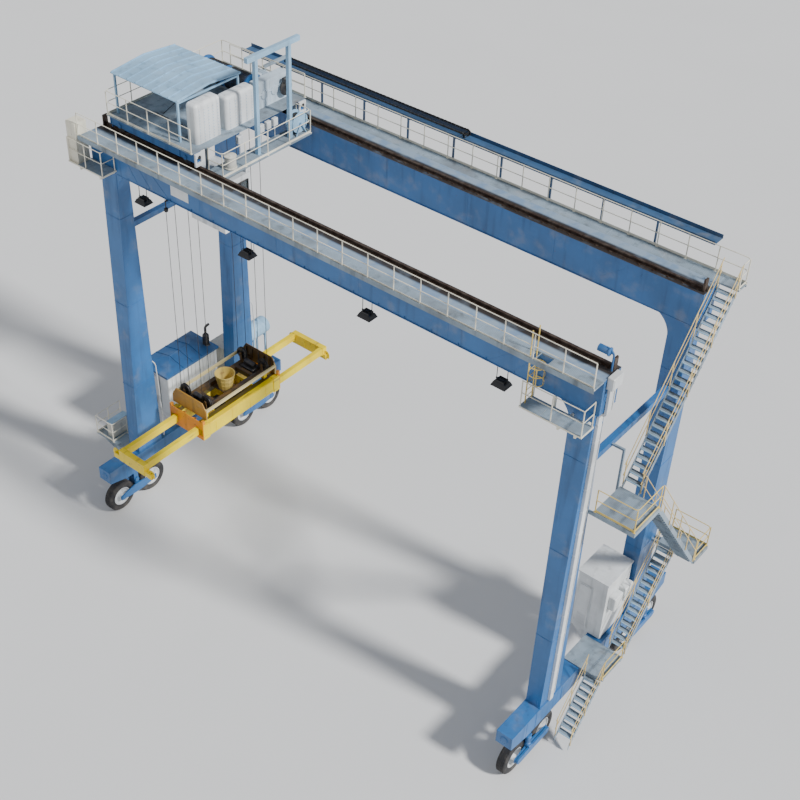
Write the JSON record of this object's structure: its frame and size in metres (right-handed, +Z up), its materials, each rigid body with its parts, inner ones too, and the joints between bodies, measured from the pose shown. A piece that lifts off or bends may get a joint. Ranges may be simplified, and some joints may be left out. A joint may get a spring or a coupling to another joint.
{
  "type": "rubber tyred gantry crane",
  "caption": "Gantry crane on rubber tyres: a portal with a walkway on each girder, a travelling trolley and a telescopic container spreader on ropes.",
  "frame": {"origin": "on the ground, in the middle of the portal", "axes": "+X along the span towards the stair side, +Y along the travel of the gantry, +Z up"},
  "size_m": [28.32, 12.265, 23.82],
  "materials": {
    "blue_paint": "satin",
    "rail_steel": "greasy",
    "tyre_rubber": "matte",
    "rim_paint": "satin",
    "walkway_steel": "matte",
    "handrail_paint": "satin",
    "tray_steel": "satin",
    "chain_plastic": "matte",
    "white_paint": "satin",
    "roof_paint": "satin",
    "light_blue_paint": "satin",
    "cabinet_paint": "satin",
    "ladder_paint": "satin",
    "lamp_housing": "satin",
    "wheel_steel": "machined",
    "drum_steel": "satin",
    "machine_paint": "satin",
    "rope_steel": "greased",
    "ochre_paint": "worn",
    "spreader_paint": "satin",
    "orange_paint": "worn"
  },
  "bodies": {
    "portal": {"near_girder": "blue_paint", "far_girder": "blue_paint", "trolley_rails": "rail_steel", "near_left_leg": "blue_paint", "near_right_leg": "blue_paint", "far_left_leg": "blue_paint", "far_right_leg": "blue_paint", "left_tie_beam": "blue_paint", "right_tie_beam": "blue_paint", "left_sill_beam": "blue_paint", "right_sill_beam": "blue_paint", "bogie_frames": "blue_paint", "tyres": "tyre_rubber", "wheel_rims": "rim_paint", "near_walkway": "walkway_steel", "far_walkway": "walkway_steel", "near_handrail": "handrail_paint", "far_handrail": "handrail_paint", "cable_tray": "tray_steel", "energy_chain": "chain_plastic", "upper_flight": "walkway_steel", "middle_flight": "walkway_steel", "lower_flight": "walkway_steel", "ground_flight": "walkway_steel", "stair_handrails": "handrail_paint", "stair_landings": "walkway_steel", "landing_handrails": "handrail_paint", "power_house": "white_paint", "power_house_roof": "roof_paint", "fuel_tank": "light_blue_paint", "sill_cabinets": "cabinet_paint", "sill_platform": "walkway_steel", "sill_handrails": "handrail_paint", "leg_boxes": "blue_paint", "electrical_house": "white_paint", "leg_platforms": "handrail_paint", "caged_ladder": "ladder_paint", "floodlights": "lamp_housing", "cable_trunking": "white_paint"},
    "trolley": {"trolley_frame": "blue_paint", "trolley_deck": "walkway_steel", "trolley_wheels": "wheel_steel", "trolley_handrails": "handrail_paint", "hoist_drum": "drum_steel", "hoist_drive": "machine_paint", "machinery_roof": "light_blue_paint", "switch_cabinets": "white_paint", "service_frame": "light_blue_paint", "operator_cab": "white_paint", "upper_sheaves": "wheel_steel", "hoist_ropes": "rope_steel"},
    "spreader": {"head_block": "ochre_paint", "lower_sheaves": "wheel_steel", "cable_basket": "spreader_paint", "spreader_frame": "spreader_paint", "frame_end_plates": "orange_paint"},
    "far_arm": {"far_telescope": "spreader_paint"},
    "near_arm": {"near_telescope": "spreader_paint"}
  },
  "joints": [
    {"name": "trolley_travel", "type": "slide", "parent": "portal", "child": "trolley", "axis": [1, 0, 0], "range_m": [-0.15, 18.2]},
    {"name": "hoist", "type": "slide", "parent": "trolley", "child": "spreader", "axis": [0, 0, 1], "range_m": [-4.4, 10.4], "deforming": ["hoist_ropes"]},
    {"name": "far_telescoping", "type": "slide", "parent": "spreader", "child": "far_arm", "axis": [0, 1, 0], "range_m": [-3.066, 0]},
    {"name": "near_telescoping", "type": "slide", "parent": "spreader", "child": "near_arm", "axis": [0, 1, 0], "range_m": [0, 3.066]}
  ],
  "couplings": [
    {"joint": "near_telescoping", "follows": "far_telescoping", "ratio": -1}
  ]
}
